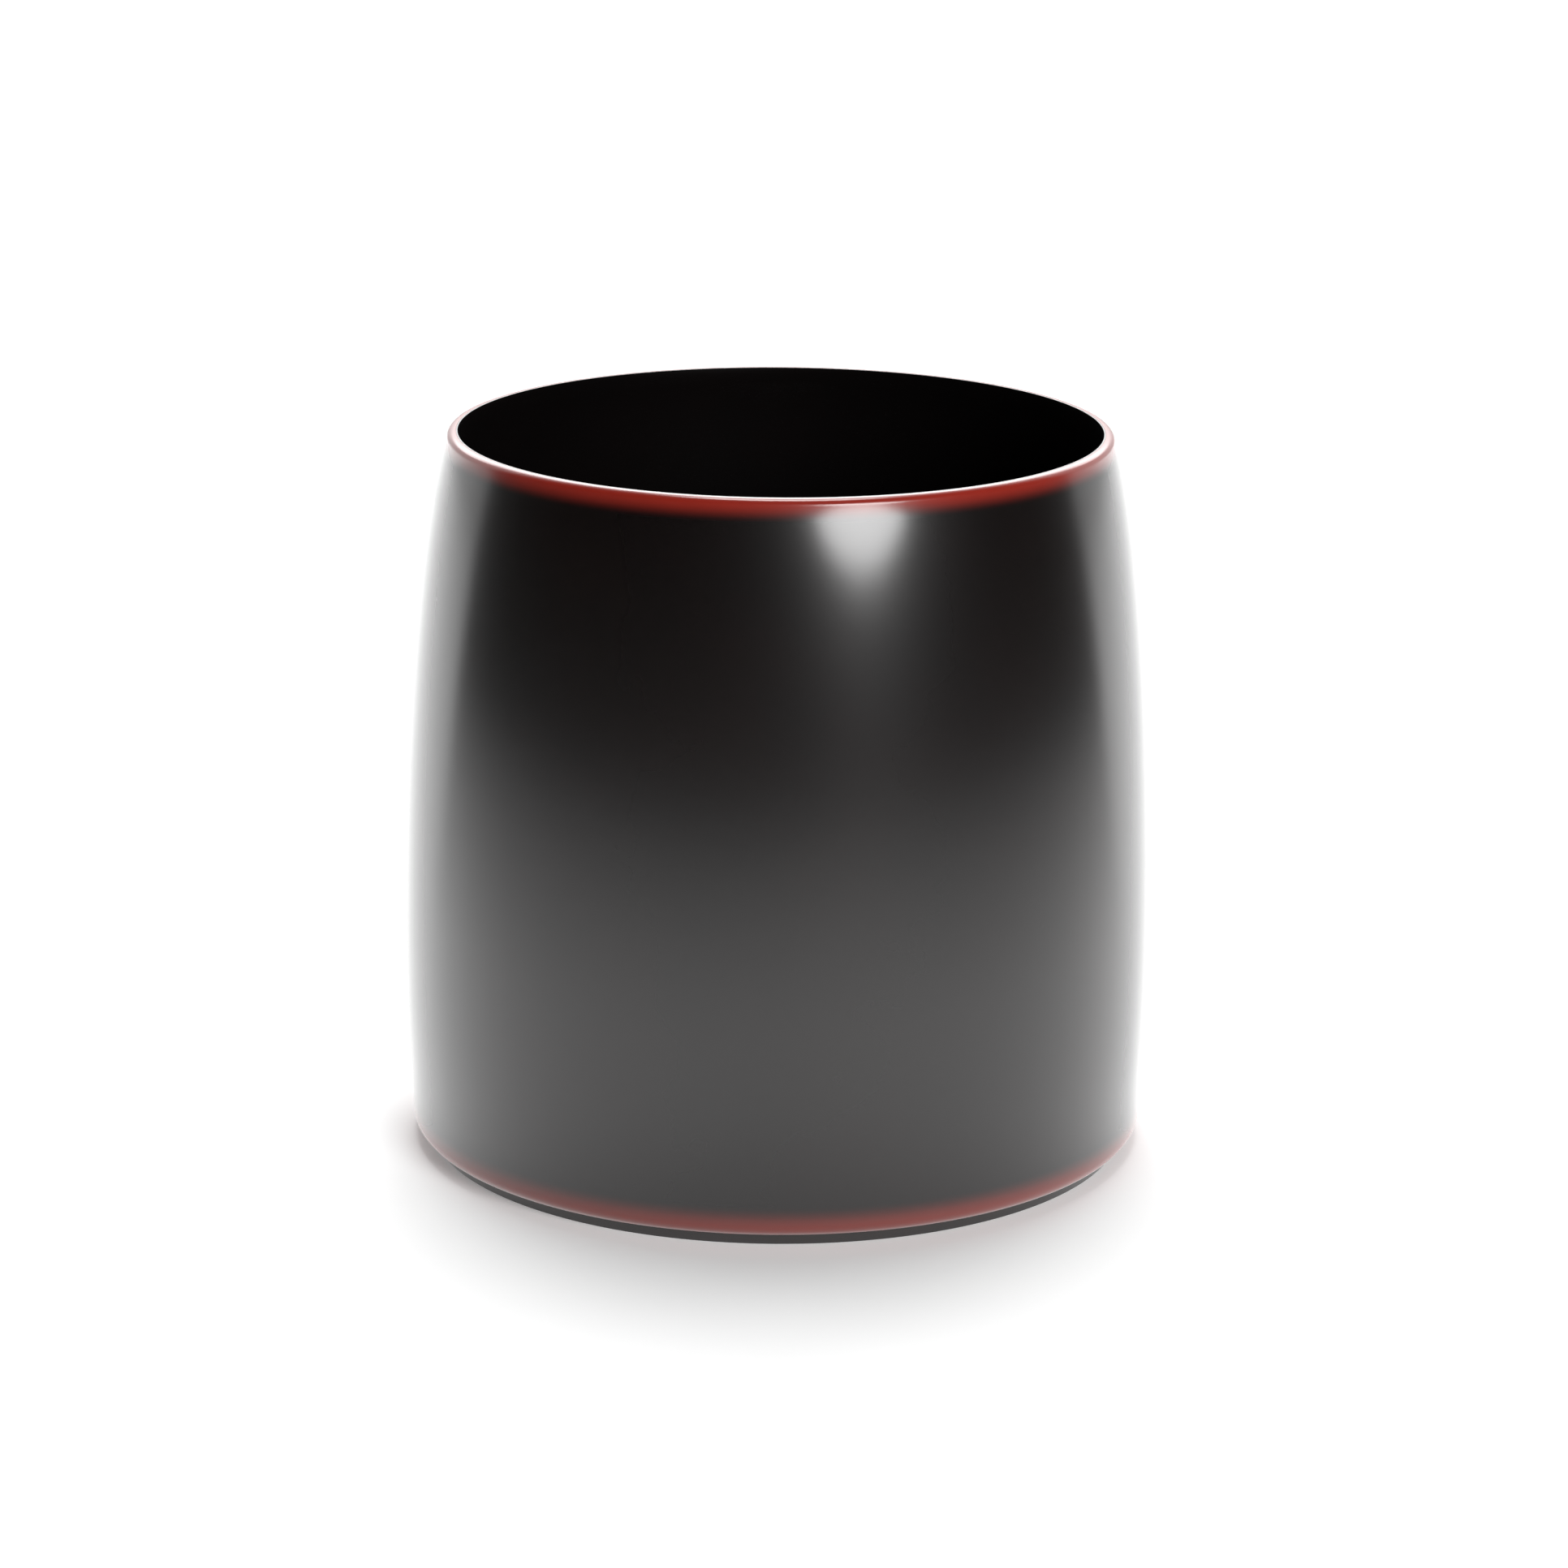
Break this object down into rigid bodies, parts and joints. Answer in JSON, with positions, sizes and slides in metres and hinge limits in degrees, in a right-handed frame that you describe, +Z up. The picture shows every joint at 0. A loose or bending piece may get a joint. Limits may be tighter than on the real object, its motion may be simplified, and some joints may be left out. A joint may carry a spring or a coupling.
{
  "type": "lacquer cup",
  "caption": "Handleless drinking cup of lacquered turned wood with a rounded body, thin lip and low ring foot.",
  "frame": {"origin": "centre of the foot ring's underside, on the surface that the cup stands on", "axes": "+Z up along the axis of rotation; the cup is round, so X and Y are free"},
  "size_m": [0.084, 0.084, 0.0812],
  "materials": {
    "wood": "turned, sealed",
    "hemp_cloth": "lacquer-soaked plain weave",
    "ground_coat": "matt",
    "vermilion_lacquer": "satin gloss",
    "amber_lacquer": "satin gloss",
    "black_lacquer": "satin gloss"
  },
  "bodies": {
    "root": {"wood_core": "wood", "rim_cloth": "hemp_cloth", "floor_cloth": "hemp_cloth", "foot_cloth": "hemp_cloth", "outer_ground_coat": "ground_coat", "inner_ground_coat": "ground_coat", "vermilion_undercoat": "vermilion_lacquer", "amber_topcoat": "amber_lacquer", "inner_black_coat": "black_lacquer", "foot_black_coat": "black_lacquer"}
  },
  "joints": []
}
